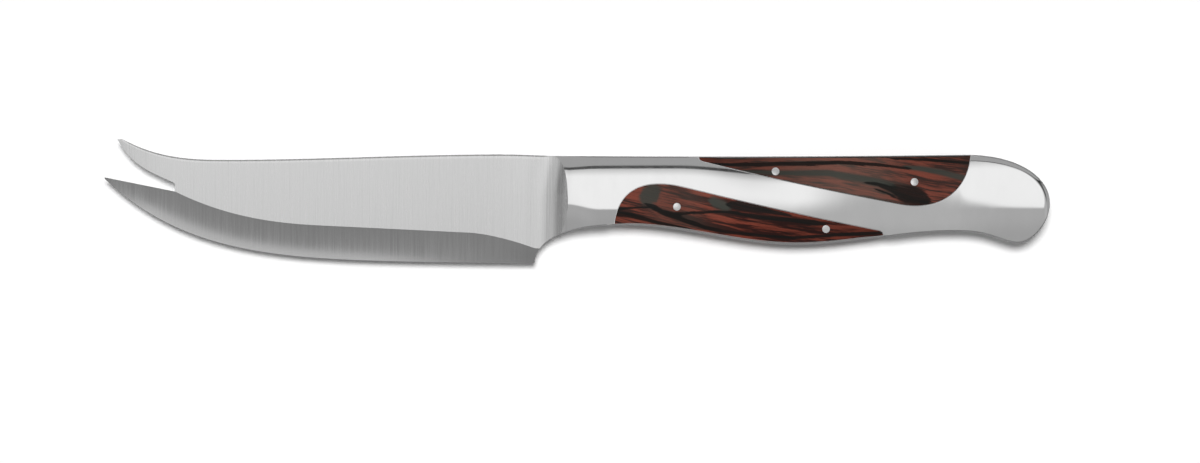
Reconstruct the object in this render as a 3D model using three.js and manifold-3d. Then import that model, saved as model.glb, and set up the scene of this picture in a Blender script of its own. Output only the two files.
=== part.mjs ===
// Bar knife with a forked tip, lying on its right side.
// One steel forging holds the blade, bolster, tang, side bands and butt. Four wood inlays are let into the
// handle, two on each side, and four pins run right through the inlays and the tang.
// Shapes are worked out in the knife's own frame: x runs from the bolster line back to the butt, y up to the
// spine, and z out of the knife's left side, with the middle plane of the blade at z = 0. Millimetres.

import * as THREE from "three";
import { mergeVertices } from "three/addons/utils/BufferGeometryUtils.js";
import Module from "manifold-3d";

const wasm = await Module();
wasm.setup();

// Blade outline: distances ahead of the bolster line, depths below the spine line
const bladeLength = 127;
const heelSetback = 8.8;
const heelDepth = 29.2;
const edgePower = 5.1;
const edgeSlopeShare = 0.08;
const edgeSlopePower = 1.2;
const spineRiseAtBolster = 0.25;
const spineCrestAhead = 18;
const spineCrestRise = 0.68;
const spineDipAhead = 93;
const spineDipDepth = 0.8;

// Fork at the tip
const lowerTineDepth = 5.6;
const lowerTineLand = 0.4;
const upperTineSetback = 3.5;
const upperTineRise = 4.9;
const upperTineLand = 1.4;
const upperTineSweep = 2.8;
const slotLength = 19.4;
const slotDepth = 9.5;
const slotWidth = 2.3;
const slotSlopeShare = 0.58;
const slotSweep = 4.3;
const slotCornerRadius = 0.6;

// Hollow-ground bevel
const bevelMiddleAhead = 67;
const bevelMiddleDepth = 18.85;
const bevelFall = 0.0485;
const bevelTipSweep = 2.45;
const bevelRunOutAhead = 26.6;
const bevelHeelDrop = 3.4;
const bevelHeelSweep = 1.65;
const bevelHollow = 0.12;

// Blade thickness
const spineThickness = 2.8;
const tipThickness = 1.8;
const tineTipThickness = 0.6;
const edgeThickness = 0.3;
const flatTaper = 0.0125;

// Handle outline: distances back from the bolster line, depths below the spine line
const neckBack = 16;
const neckToBelly = 47;
const bellyToWaist = 43;
const waistToButtLow = 18;
const buttLowToEnd = 8.6;
const neckDepth = 18.8;
const bellyDepth = 24.15;
const waistDepth = 20.4;
const buttDepth = 23.6;
const buttEndDepth = 13.1;
const neckSweep = 2.8;
const waistSweep = 1.6;
const buttTopLength = 23;
const buttTopRise = 0.57;
const buttTopPower = 2.15;
const buttLowPower = 1.75;
const spineSag = 0.3;

// Handle section
const handleThickness = 14.4;
const bolsterThickness = 10.8;
const thinThickness = 11.4;
const thinBack = 108;
const swellLength = 28;
const flarePower = 1.3;
const crownRadius = 22.8;
const crownLand = 2;
const buttFlat = 0.15;
const rimThickness = 3.4;
const tangThickness = 4.8;

// Line along which the handle is widest: depths at the bolster, behind it, and at the belly, waist and butt
const widestAtBolster = 12.05;
const widestAtNeck = 13.35;
const widestAtBelly = 14.4;
const widestAtWaist = 13.5;
const widestAtButt = 13.9;
const widestNeckBack = 9;
const widestWaistBack = 102;
const widestButtBack = 117;

// Rounded edges: crisp at the bolster, larger along the wood, smaller again round the butt
const bolsterRound = 0.5;
const upperWoodRound = 1.2;
const lowerWoodRound = 1.5;
const upperButtRound = 0.6;
const lowerButtRound = 0.5;
const upperRoundBack = 26;
const lowerRoundBack = 8;
const roundGrowLength = 14;
const upperRoundEndBack = 104;
const lowerRoundEndBack = 70;
const roundShrinkLength = 15;

// Concave bolster, ground by a wheel whose axle runs parallel to y
const wheelRadius = 14;
const wheelAhead = 10.2;
const handleFrontAhead = 7.9;
const wheelBite = 0.35;
const bladeRootAhead = 3.5;

// Slanting steel band between the inlays
const bandWidth = 8.35;
const bandDepthAtBelly = 11.5;
const bandAngle = 12.3;
const bandBowRadius = 1000;

// Inlays: where each one's point and rounded end lie behind the bolster line
const upperPointBack = 36.9;
const upperEndBack = 111.3;
const lowerPointBack = 86.9;
const lowerEndBack = 13.7;
const inlayEndLength = 19.4;
const inlayEndReach = 10.7;
const inlayEndRise = 10;
const inlayEndLean = 1.2;
const inlayPointRadius = 1.3;
const glueLine = 0.25;

// Pins: distance from the inlay's own point or end, and distance from the edge of the band
const pinDiameter = 2.2;
const pinClearance = 0.25;
const upperFrontPinFromPoint = 20.5;
const upperFrontPinFromBand = 2;
const upperRearPinFromEnd = 15.8;
const upperRearPinFromBand = 6.9;
const lowerFrontPinFromEnd = 16.6;
const lowerFrontPinFromBand = 5.6;
const lowerRearPinFromPoint = 15.7;
const lowerRearPinFromBand = 2.3;

// Fineness of the facets
const bladeSteps = 34;
const handleSteps = 34;
const neckSteps = 7;
const buttSteps = 9;
const buttCloseLength = 10;
const crownSteps = 3;
const slopeStep = 1e-3;
const curveSteps = 10;
const roundSides = 20;
const wheelSides = 72;
const mergeDistance = 1e-4;

// Places that follow from the sizes
const tipX = -bladeLength;
const upperTipX = tipX + upperTineSetback;
const slotEndX = tipX + slotLength;
const heelX = -heelSetback;
const bellyX = neckBack + neckToBelly;
const waistX = bellyX + bellyToWaist;
const buttLowX = waistX + waistToButtLow;
const endX = buttLowX + buttLowToEnd;
const buttTopX = endX - buttTopLength;
const buttCloseX = endX - buttCloseLength;
const wheelX = -wheelAhead;
const clearHeight = handleThickness + heelDepth;
const { lerp, smoothstep, clamp, degToRad } = THREE.MathUtils;

// A share from 0 to 1 of the way from one value to another
function shareOf(value, from, to) {
  return clamp((value - from) / (to - from), 0, 1);
}

// Quarter of a superellipse: 1 at share 0, falling to 0 at share 1
function quarterRound(share, power) {
  return Math.pow(1 - Math.pow(share, power), 1 / power);
}

// Evenly spread values from one end to the other, both included
function spread(from, to, steps) {
  return Array.from({ length: steps + 1 }, (_, i) => lerp(from, to, i / steps));
}

// Upper edge of blade and handle, as a height over x
function spineHeight(x) {
  if (x > buttTopX) {
    const fall = quarterRound(shareOf(x, buttTopX, endX + buttFlat), buttTopPower);
    return lerp(-buttEndDepth, buttTopRise, fall);
  }
  if (x > 0) {
    const share = x / buttTopX;
    return lerp(spineRiseAtBolster, buttTopRise, share) - 4 * spineSag * share * (1 - share);
  }
  if (x > -spineCrestAhead) {
    return lerp(spineRiseAtBolster, spineCrestRise, smoothstep(-x, 0, spineCrestAhead));
  }
  if (x > -spineDipAhead) {
    return lerp(spineCrestRise, -spineDipDepth, smoothstep(-x, spineCrestAhead, spineDipAhead));
  }
  const climb = Math.pow(shareOf(x, -spineDipAhead, upperTipX + upperTineLand), upperTineSweep);
  return lerp(-spineDipDepth, upperTineRise, climb);
}

// Cutting edge, from the lower tine's tip to the heel
function edgeHeight(x) {
  const share = shareOf(x, heelX, tipX);
  const sweep = lerp(Math.pow(share, edgePower), Math.pow(share, edgeSlopePower), edgeSlopeShare);
  return lerp(-heelDepth, -lowerTineDepth - lowerTineLand, sweep);
}

// Upper side of the lower tine, a straight line that ends at the slot's lower corner
function lowerTineHeight(x) {
  return lerp(-lowerTineDepth, -slotDepth, shareOf(x, tipX, slotEndX));
}

// Line where the flat of the blade meets the bevel
function bevelHeight(x) {
  if (x < slotEndX) {
    return lowerTineHeight(x);
  }
  const middleX = -bevelMiddleAhead;
  const straight = (at) => -bevelMiddleDepth - bevelFall * (at - middleX);
  const tipLift = -slotDepth - straight(slotEndX);
  const lift = tipLift * Math.pow(shareOf(x, middleX, slotEndX), bevelTipSweep);
  const drop = bevelHeelDrop * Math.pow(shareOf(x, -bevelRunOutAhead, heelX), bevelHeelSweep);
  return straight(x) + lift - drop;
}

// Lower side of the upper tine, which is the slot's upper edge
function upperTineUnderside(x) {
  const share = shareOf(x, slotEndX, upperTipX);
  const sweep = lerp(Math.pow(share, slotSweep), share, slotSlopeShare);
  return lerp(-slotDepth + slotWidth, upperTineRise, sweep);
}

// Lower edge of the handle, from the heel of the blade to the butt
function undersideHeight(x) {
  if (x < neckBack) {
    const rise = Math.sqrt(1 - Math.pow(shareOf(x, neckBack, heelX), neckSweep));
    return lerp(-heelDepth, -neckDepth, rise);
  }
  if (x < bellyX) {
    return lerp(-neckDepth, -bellyDepth, smoothstep(x, neckBack, bellyX));
  }
  if (x < waistX) {
    return lerp(-bellyDepth, -waistDepth, smoothstep(x, bellyX, waistX));
  }
  if (x < buttLowX) {
    const share = Math.pow(shareOf(x, waistX, buttLowX), waistSweep);
    return lerp(-waistDepth, -buttDepth, smoothstep(share, 0, 1));
  }
  const fall = quarterRound(shareOf(x, buttLowX, endX + buttFlat), buttLowPower);
  return lerp(-buttEndDepth, -buttDepth, fall);
}

// Half thickness of the blade's flats, which taper towards the tip and towards the edge
function flatHalf(x, y) {
  const distal = (spineThickness - tipThickness) / 2 / bladeLength;
  return spineThickness / 2 + distal * x + flatTaper * y;
}

// Edge of the handle: its spine for side 1, its underside for side -1
function handleEdge(x, side) {
  return side > 0 ? spineHeight(x) : undersideHeight(x);
}

// How much longer a distance is along y than square to the handle's edge
function edgeStretch(x, side) {
  const ahead = Math.min(x + slopeStep, endX);
  const behind = x - slopeStep;
  return Math.hypot(1, (handleEdge(ahead, side) - handleEdge(behind, side)) / (ahead - behind));
}

// Radius of the rounded edge, measured square to it
function edgeRound(x, side) {
  const growFrom = side > 0 ? upperRoundBack : lowerRoundBack;
  const shrinkFrom = side > 0 ? upperRoundEndBack : lowerRoundEndBack;
  const woodRound = side > 0 ? upperWoodRound : lowerWoodRound;
  const buttRound = side > 0 ? upperButtRound : lowerButtRound;
  const grown = lerp(bolsterRound, woodRound, smoothstep(x, growFrom, growFrom + roundGrowLength));
  return lerp(grown, buttRound, smoothstep(x, shrinkFrom, shrinkFrom + roundShrinkLength));
}

// Height of the line along which the handle is widest, in gentle steps
function widestHeight(x) {
  const toNeck = (widestAtNeck - widestAtBolster) * smoothstep(x, 0, widestNeckBack);
  const toBelly = (widestAtBelly - widestAtNeck) * smoothstep(x, widestNeckBack, bellyX);
  const toWaist = (widestAtWaist - widestAtBelly) * smoothstep(x, bellyX, widestWaistBack);
  const toButt = (widestAtButt - widestAtWaist) * smoothstep(x, widestWaistBack, widestButtBack);
  return -(widestAtBolster + toNeck + toBelly + toWaist + toButt);
}

// Half thickness of the handle. It swells behind the bolster, narrows behind the belly and flares to the
// butt. Across, a narrow flat land lies on the widest line, the sides curve away from it, and quarter rounds
// bring them down to a flat rim at both edges.
function handleHalf(x, y) {
  const swell = 1 - Math.pow(1 - shareOf(x, 0, swellLength), 2);
  const narrowing = smoothstep(x, bellyX, thinBack) - Math.pow(shareOf(x, thinBack, endX), flarePower);
  const thickness = lerp(bolsterThickness, handleThickness, swell);
  const widest = (thickness - (handleThickness - thinThickness) * narrowing) / 2;
  const offLand = Math.max(0, Math.abs(y - widestHeight(x)) - crownLand / 2);
  const crown = widest - offLand * offLand / (2 * crownRadius);
  const inside = [1, -1].map((side) => {
    return shareOf(side * (handleEdge(x, side) - y), edgeRound(x, side) * edgeStretch(x, side), 0);
  });
  const rounding = (1 - inside[0] * inside[0]) * (1 - inside[1] * inside[1]);
  const rim = rimThickness / 2;
  return Math.sqrt(rim * rim + (crown * crown - rim * rim) * rounding);
}

// Height of the middle of the steel band, a line with a slight bow
function bandMiddle(x) {
  const along = x - bellyX;
  return -bandDepthAtBelly - Math.tan(degToRad(bandAngle)) * along + along * along / (2 * bandBowRadius);
}

// Upper edge of the band (side 1) or lower edge (side -1)
function bandEdge(x, side) {
  return bandMiddle(x) + side * bandWidth / 2 / Math.cos(degToRad(bandAngle));
}

function bandSlope(x) {
  return (x - bellyX) / bandBowRadius - Math.tan(degToRad(bandAngle));
}

// Turns a closed geometry into a solid that can be joined and cut
function solid(geometry) {
  const bare = geometry.clone();
  bare.deleteAttribute("normal");
  bare.deleteAttribute("uv");
  const merged = mergeVertices(bare, mergeDistance);
  const vertProperties = Float32Array.from(merged.attributes.position.array);
  const triVerts = Uint32Array.from(merged.index.array);
  return new wasm.Manifold(new wasm.Mesh({ numProp: 3, vertProperties, triVerts }));
}

// Skins a row of rings. Each ring is symmetric about z = 0 and lists its left side downwards and then its
// right side upwards, so that both ends are closed by strips from left to right.
function loft(rings) {
  const count = rings[0].length;
  const triangles = [];
  const quad = (a, b, c, d) => triangles.push(a, c, b, a, d, c);
  for (let i = 0; i + 1 < rings.length; i++) {
    for (let j = 0; j < count; j++) {
      const next = (j + 1) % count;
      quad(i * count + j, (i + 1) * count + j, (i + 1) * count + next, i * count + next);
    }
  }
  const last = (rings.length - 1) * count;
  for (let j = 0; j + 1 < count / 2; j++) {
    quad(j, j + 1, count - 2 - j, count - 1 - j);
    quad(last + j, last + count - 1 - j, last + count - 2 - j, last + j + 1);
  }
  const geometry = new THREE.BufferGeometry();
  const points = rings.flat().flatMap((point) => point.toArray());
  geometry.setAttribute("position", new THREE.Float32BufferAttribute(points, 3));
  geometry.setIndex(triangles);
  return solid(geometry);
}

// Closes a list of points on the left side into a ring with its mirror image on the right
function ringOf(left) {
  const right = left.map((point) => new THREE.Vector3(point.x, point.y, -point.z)).reverse();
  return [...left, ...right];
}

// Straight-sided solid over a closed outline, from one height to another
function prism(outline, fromZ, toZ) {
  const shape = new THREE.Shape(outline);
  const geometry = new THREE.ExtrudeGeometry(shape, { depth: toZ - fromZ, bevelEnabled: false });
  geometry.translate(0, 0, fromZ);
  return solid(geometry);
}

// Moves every point of a closed outline outwards, so that each side moves by the distance
function grown(outline, distance) {
  const turn = THREE.ShapeUtils.isClockWise(outline) ? -1 : 1;
  const outward = (from, to) => new THREE.Vector2(to.y - from.y, from.x - to.x).setLength(turn);
  return outline.map((point, i) => {
    const before = outward(outline.at(i - 1), point);
    const after = outward(point, outline[(i + 1) % outline.length]);
    const mitre = before.clone().add(after).normalize();
    return mitre.multiplyScalar(distance / mitre.dot(before)).add(point);
  });
}

// Round bar along z through the whole knife
function crossBar(centre, radius) {
  const geometry = new THREE.CylinderGeometry(radius, radius, 2 * clearHeight, roundSides);
  geometry.rotateX(Math.PI / 2);
  geometry.translate(centre.x, centre.y, 0);
  return solid(geometry);
}

// Blade blank before its slot and heel are cut: spine, flat, hollow bevel and edge at each station.
// The stations lean at the tip, where the upper tine starts behind the lower one.
function bladeBlank() {
  const rootX = -bladeRootAhead;
  const rings = spread(0, 1, bladeSteps).map((share) => {
    const lowX = lerp(tipX, rootX, share);
    const highX = lerp(upperTipX, rootX, share);
    const tineTaper = lerp(tineTipThickness / tipThickness, 1, shareOf(lowX, tipX, slotEndX));
    const bevelY = bevelHeight(lowX);
    const edgeY = edgeHeight(lowX);
    const seamY = bevelY + slotWidth / 2;
    const bevelHalf = flatHalf(lowX, bevelY) * tineTaper;
    const hollowHalf = (bevelHalf + edgeThickness / 2) / 2 - bevelHollow * tineTaper;
    return ringOf([
      new THREE.Vector3(highX, spineHeight(highX), flatHalf(highX, spineHeight(highX))),
      new THREE.Vector3(lowX, seamY, flatHalf(lowX, seamY)),
      new THREE.Vector3(lowX, bevelY, bevelHalf),
      new THREE.Vector3(lowX, (bevelY + edgeY) / 2, hollowHalf),
      new THREE.Vector3(lowX, edgeY, edgeThickness / 2),
    ]);
  });
  return loft(rings);
}

// Slot between the tines: the upper tine's curved underside, a rounded corner, the slot's end and the
// lower tine's straight upper side
function forkSlot() {
  const outline = new THREE.Path();
  const cornerX = slotEndX - slotCornerRadius;
  outline.moveTo(tipX - slotLength, upperTineRise);
  spread(upperTipX, cornerX, curveSteps).forEach((x) => outline.lineTo(x, upperTineUnderside(x)));
  const cornerY = upperTineUnderside(slotEndX);
  outline.quadraticCurveTo(slotEndX, cornerY, slotEndX, cornerY - slotCornerRadius);
  outline.lineTo(slotEndX, -slotDepth);
  outline.lineTo(tipX, -lowerTineDepth);
  outline.lineTo(tipX - slotLength, -lowerTineDepth);
  return prism(outline.getPoints(curveSteps / 2), -clearHeight, clearHeight);
}

// Curve cut out of the blade behind its heel, up to the underside of the bolster
function heelCut() {
  const curve = spread(0, 1, 2 * curveSteps).map((share) => {
    const x = lerp(heelX, neckBack, share * share);
    return new THREE.Vector2(x, undersideHeight(x));
  });
  const below = [neckBack, heelX].map((x) => new THREE.Vector2(x, -clearHeight));
  return prism([...curve, ...below], -clearHeight, clearHeight);
}

// Form of the whole handle, before inlays and bolster are cut. The rows of each section lie close together on
// its rounded edges, and evenly from there to the land on the widest line.
function handleForm() {
  const roundRows = [0, 0.06, 0.25, 0.6, 1];
  const neckStations = spread(-handleFrontAhead, neckBack, neckSteps).slice(0, -1);
  const middleStations = spread(neckBack, buttCloseX, handleSteps).slice(0, -1);
  const buttStations = spread(0, Math.PI / 2, buttSteps).map((turn) => {
    return buttCloseX + buttCloseLength * Math.sin(turn);
  });
  const rings = [...neckStations, ...middleStations, ...buttStations].map((x) => {
    const rows = (side) => {
      const edge = handleEdge(x, side);
      const reach = Math.abs(edge - widestHeight(x));
      const land = Math.min(crownLand / 2, reach / 4);
      const depth = Math.min(edgeRound(x, side) * edgeStretch(x, side), reach / 2);
      const crownRows = spread(depth, reach - land, crownSteps).slice(1);
      return [...roundRows.map((row) => row * depth), ...crownRows].map((down) => {
        const y = edge - side * down;
        return new THREE.Vector3(x, y, handleHalf(x, y));
      });
    };
    return ringOf([...rows(1), ...rows(-1).reverse()]);
  });
  return loft(rings);
}

// Grinding wheel that hollows the front of the bolster on one side
function bolsterWheel(side) {
  const geometry = new THREE.CylinderGeometry(wheelRadius, wheelRadius, 2 * clearHeight, wheelSides);
  const foot = flatHalf(wheelX, -heelDepth) - wheelBite;
  geometry.translate(wheelX, 0, side * (foot + wheelRadius));
  return solid(geometry);
}

// Outline of an inlay seen from the left. It runs past the handle's edge (spine for side 1, underside for
// side -1), then round its small point, along the band, and round its broad end back to that edge.
function inlayOutline(side, pointX, endX) {
  const towardsEnd = Math.sign(endX - pointX);
  const edge = (x) => (side > 0 ? spineHeight(x) : undersideHeight(x));
  const outside = side * clearHeight;
  const turnX = endX - towardsEnd * inlayEndLength;
  const leaveX = pointX + towardsEnd * inlayPointRadius;
  const middleX = (leaveX + turnX) / 2;
  const outline = new THREE.Path();
  outline.moveTo(pointX, outside);
  outline.lineTo(pointX, bandEdge(pointX, side) + side * inlayPointRadius);
  outline.quadraticCurveTo(pointX, bandEdge(pointX, side), leaveX, bandEdge(leaveX, side));
  outline.quadraticCurveTo(
    middleX, bandEdge(leaveX, side) + bandSlope(leaveX) * (middleX - leaveX),
    turnX, bandEdge(turnX, side),
  );
  const reach = towardsEnd * inlayEndReach;
  outline.bezierCurveTo(
    turnX + reach, bandEdge(turnX, side) + bandSlope(turnX) * reach,
    endX - towardsEnd * inlayEndLean, edge(endX) - side * inlayEndRise,
    endX, edge(endX),
  );
  outline.lineTo(endX, outside);
  return outline.getPoints(curveSteps);
}

const upperOutline = inlayOutline(1, upperPointBack, upperEndBack);
const lowerOutline = inlayOutline(-1, lowerPointBack, lowerEndBack);

// Pin centres, measured from their inlay's point or end and from the edge of the band
function pinCentre(x, side, fromBand) {
  return new THREE.Vector2(x, bandEdge(x, side) + side * fromBand);
}

const pins = {
  upper_front_pin: pinCentre(upperPointBack + upperFrontPinFromPoint, 1, upperFrontPinFromBand),
  upper_rear_pin: pinCentre(upperEndBack - upperRearPinFromEnd, 1, upperRearPinFromBand),
  lower_front_pin: pinCentre(lowerEndBack + lowerFrontPinFromEnd, -1, lowerFrontPinFromBand),
  lower_rear_pin: pinCentre(lowerPointBack - lowerRearPinFromPoint, -1, lowerRearPinFromBand),
};

const handle = handleForm();
const pinRadius = pinDiameter / 2;
const tangHalf = tangThickness / 2;

// Takes the pin bores out of a solid
function bored(body) {
  return Object.values(pins).reduce(
    (rest, centre) => rest.subtract(crossBar(centre, pinRadius + pinClearance)),
    body,
  );
}

// Part of an outline's prism that lies outside the given distance from the middle plane, on one side
function sidePrism(outline, side, from) {
  return side > 0 ? prism(outline, from, clearHeight) : prism(outline, -clearHeight, -from);
}

// Forging: blade and bolster joined to the handle, with pockets for the inlays and bores for the pins
function forgedBody() {
  const blade = bladeBlank().subtract(forkSlot()).subtract(heelCut());
  let body = handle.subtract(bolsterWheel(1)).subtract(bolsterWheel(-1)).add(blade);
  for (const outline of [upperOutline, lowerOutline]) {
    for (const side of [1, -1]) {
      body = body.subtract(sidePrism(grown(outline, glueLine), side, tangHalf));
    }
  }
  return bored(body);
}

// Inlay: the part of the handle's oval form inside its outline, down to the glue on the tang
function inlay(outline, side) {
  return bored(handle.intersect(sidePrism(outline, side, tangHalf + glueLine)));
}

// Pin: a round bar ground flush with the handle on both sides
function pin(centre) {
  return handle.intersect(crossBar(centre, pinRadius));
}

const steel = () => new THREE.MeshStandardMaterial({ color: 0xc4c6c8, roughness: 0.25, metalness: 1 });
const wood = () => new THREE.MeshStandardMaterial({ color: 0x5c332a, roughness: 0.4, metalness: 0 });

function namedMesh(name, body, material) {
  const { vertProperties, triVerts } = body.getMesh();
  const geometry = new THREE.BufferGeometry();
  geometry.setAttribute("position", new THREE.BufferAttribute(vertProperties, 3));
  geometry.setIndex(new THREE.BufferAttribute(triVerts, 1));
  geometry.computeVertexNormals();
  const mesh = new THREE.Mesh(geometry, material);
  mesh.name = name;
  return mesh;
}

const knife = new THREE.Group();
knife.add(namedMesh("forged_body", forgedBody(), steel()));
knife.add(namedMesh("upper_left_inlay", inlay(upperOutline, 1), wood()));
knife.add(namedMesh("upper_right_inlay", inlay(upperOutline, -1), wood()));
knife.add(namedMesh("lower_left_inlay", inlay(lowerOutline, 1), wood()));
knife.add(namedMesh("lower_right_inlay", inlay(lowerOutline, -1), wood()));
for (const [name, centre] of Object.entries(pins)) {
  knife.add(namedMesh(name, pin(centre), steel()));
}

// The knife lies on the flat land of its right side, centred over the origin
const box = new THREE.Box3().setFromObject(knife);
const middle = box.getCenter(new THREE.Vector3());
knife.position.set(-middle.x, -middle.y, -box.min.z);

const part = new THREE.Group();
part.add(knife);

export default part;
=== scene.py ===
"""Bar knife with a forked tip, lying on its right side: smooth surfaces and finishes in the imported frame.

Shapes are worked out in millimetres in the knife's own frame, as in the part's source: x runs from the
bolster line back to the butt, y up to the spine, z out of the knife's left side, with the blade's middle
plane at z = 0. Side 1 of the handle is its half along the spine, and side -1 the half along its underside.
"""

import bmesh
import bpy
import numpy as np
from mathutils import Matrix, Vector


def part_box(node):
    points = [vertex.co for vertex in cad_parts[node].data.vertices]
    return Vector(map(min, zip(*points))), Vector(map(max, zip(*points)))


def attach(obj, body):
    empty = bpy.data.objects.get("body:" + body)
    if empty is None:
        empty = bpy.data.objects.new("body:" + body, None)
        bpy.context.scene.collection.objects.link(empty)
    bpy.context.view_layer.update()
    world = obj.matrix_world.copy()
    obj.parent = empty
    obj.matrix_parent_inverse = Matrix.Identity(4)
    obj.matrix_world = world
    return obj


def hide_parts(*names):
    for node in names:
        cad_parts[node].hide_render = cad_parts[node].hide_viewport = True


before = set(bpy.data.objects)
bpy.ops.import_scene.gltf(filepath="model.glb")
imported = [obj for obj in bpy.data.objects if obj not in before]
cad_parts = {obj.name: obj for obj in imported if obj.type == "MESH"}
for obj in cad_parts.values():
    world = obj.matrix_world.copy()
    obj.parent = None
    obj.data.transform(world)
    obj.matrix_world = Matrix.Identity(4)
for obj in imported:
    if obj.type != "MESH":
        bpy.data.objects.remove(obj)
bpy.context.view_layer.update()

MM = 0.001

# Blade outline: distances ahead of the bolster line, depths below the spine line
BLADE_LENGTH = 127.0
HEEL_X = -8.8
HEEL_DEPTH = 29.2
EDGE_POWER = 5.1
EDGE_SLOPE_SHARE = 0.08
EDGE_SLOPE_POWER = 1.2
SPINE_RISE_AT_BOLSTER = 0.25
SPINE_CREST_AHEAD = 18.0
SPINE_CREST_RISE = 0.68
SPINE_DIP_AHEAD = 93.0
SPINE_DIP_DEPTH = 0.8
TIP_X = -BLADE_LENGTH

# Fork at the tip
LOWER_TINE_DEPTH = 5.6
LOWER_TINE_LAND = 0.4
UPPER_TINE_BEHIND = 3.5
UPPER_TIP_X = TIP_X + UPPER_TINE_BEHIND
UPPER_TINE_RISE = 4.9
UPPER_TINE_LAND = 1.4
UPPER_TINE_SWEEP = 2.8
SLOT_LENGTH = 19.4
SLOT_END_X = TIP_X + SLOT_LENGTH
SLOT_DEPTH = 9.5
SLOT_WIDTH = 2.3
SLOT_SLOPE_SHARE = 0.58
SLOT_SWEEP = 4.3
SLOT_CORNER = 0.6
SLOT_CORNER_CUT = 0.18

# Hollow-ground bevel
BEVEL_MIDDLE_X = -67.0
BEVEL_MIDDLE_DEPTH = 18.85
BEVEL_FALL = 0.0485
BEVEL_TIP_SWEEP = 2.45
BEVEL_RUN_OUT_X = -26.6
BEVEL_HEEL_DROP = 3.4
BEVEL_HEEL_SWEEP = 1.65
BEVEL_HOLLOW_FRONT = 0.25
BEVEL_HOLLOW_LENGTH = 7.5
BEVEL_HOLLOW_HEEL = 0.06
BEVEL_HOLLOW_X = (-60.0, -10.0)

# Blade thickness
SPINE_HALF = 1.4
TIP_HALF = 0.9
TINE_TIP_HALF = 0.22
TINE_TAPER_X = -108.0
EDGE_HALF = 0.06
FLAT_TAPER = 0.0125
SPINE_CHAMFER = 0.38
SPINE_CHAMFER_SLOPE = 0.75

# Handle outline: distances back from the bolster line, depths below the spine line
NECK_X = 16.0
BELLY_X = 63.0
WAIST_X = 106.0
BUTT_LOW_X = 124.0
END_X = 132.6
NECK_DEPTH = 18.8
BELLY_DEPTH = 24.15
WAIST_DEPTH = 20.4
BUTT_DEPTH = 23.6
BUTT_END_DEPTH = 13.1
NECK_SWEEP = 2.8
WAIST_SWEEP = 1.6
BUTT_TOP_LENGTH = 23.0
BUTT_TOP_X = END_X - BUTT_TOP_LENGTH
BUTT_TOP_RISE = 0.57
BUTT_TOP_POWER = 2.15
BUTT_LOW_POWER = 1.75
SPINE_SAG = 0.3

# Handle section
HANDLE_HALF = 7.2
BOLSTER_HALF = 5.4
THIN_HALF = 5.7
THIN_X = 108.0
SWELL_LENGTH = 28.0
FLARE_POWER = 1.3
CROWN_X = [0.0, 9.0, 80.0, 100.0]
CROWN_RADIUS = [22.8, 27.0, 27.0, 32.4]
WIDEST_X = [0.0, 9.0, 30.0, BELLY_X, 100.0, 116.0]
WIDEST_DEPTH = [12.05, 13.3, 13.3, 15.6, 13.9, 12.7]
STEEL_ROUND = 0.02
WOOD_ROUND = 0.3
STEEL_STRIP = 0.3
WOOD_STRIP = {1: 0.2, -1: 0.45}
WOOD_EDGE_START = {1: (33.4, 35.9), -1: (10.9, 12.8)}
WOOD_EDGE_STOP = {1: (113.5, 111.5), -1: (89.5, 87.1)}
WOOD_ROUND_START = {1: (38.0, 44.0), -1: (14.5, 18.0)}
WOOD_ROUND_STOP = {1: (110.8, 107.0), -1: (85.5, 80.0)}
SHOULDER_WIDTH = 1.1
SHOULDER_SLOPE = 0.3
SHOULDER_BEND = 0.12
SHOULDER_X = (105.0, 112.0)
TANG_HALF = 2.4
STRIP_END_LENGTH = 4.0
STRIP_END_POWER = 4.0

# Concave bolster, ground by a wheel whose axle runs parallel to y
WHEEL_RADIUS = 14.0
WHEEL_X = -10.1
WHEEL_BITE = 0.35
WHEEL_LEAN = 1.5
WHEEL_LEAN_POWER = 1.5
WHEEL_LEAN_DEPTH = 10.5
BOLSTER_BLEND = 1.0
BOLSTER_SEARCH_X = (-4.0, 3.0)
STRIP_TOP_X = 8.0
STRIP_LOW_X = 12.0

# Slanting steel band between the inlays, and the inlays' ends
BAND_ANGLE = np.radians(12.3)
BAND_WIDTH = 8.05
BAND_SLOPE = np.tan(BAND_ANGLE)
BAND_HALF = BAND_WIDTH / 2 / np.cos(BAND_ANGLE)
BAND_DEPTH_AT_BELLY = 11.35
BAND_BOW_RADIUS = 1000.0
POINT_X = {1: 36.3, -1: 86.9}
ROUND_END_X = {1: 111.1, -1: 13.1}
INLAY_END_LENGTH = 19.4
INLAY_END_REACH = 10.7
INLAY_END_RISE = 10.0
INLAY_END_LEAN = 1.2
INLAY_POINT_RADIUS = 1.3
JOINT_GAP = 0.1
POCKET_RIM = 0.12
INLAY_EASE = 0.1
INLAY_SINK = 0.05

# Pins: distance along the handle and height above or below the band's edge
PIN_RADIUS = 1.1
PIN_PROUD = 0.03
PIN_DOME = 0.1
PIN_EASE = 0.14
PINS = {
    "upper_front_pin": (57.4, 1, 2.0),
    "upper_rear_pin": (95.5, 1, 6.9),
    "lower_front_pin": (30.3, -1, 5.9),
    "lower_rear_pin": (71.2, -1, 2.6),
}

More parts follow.
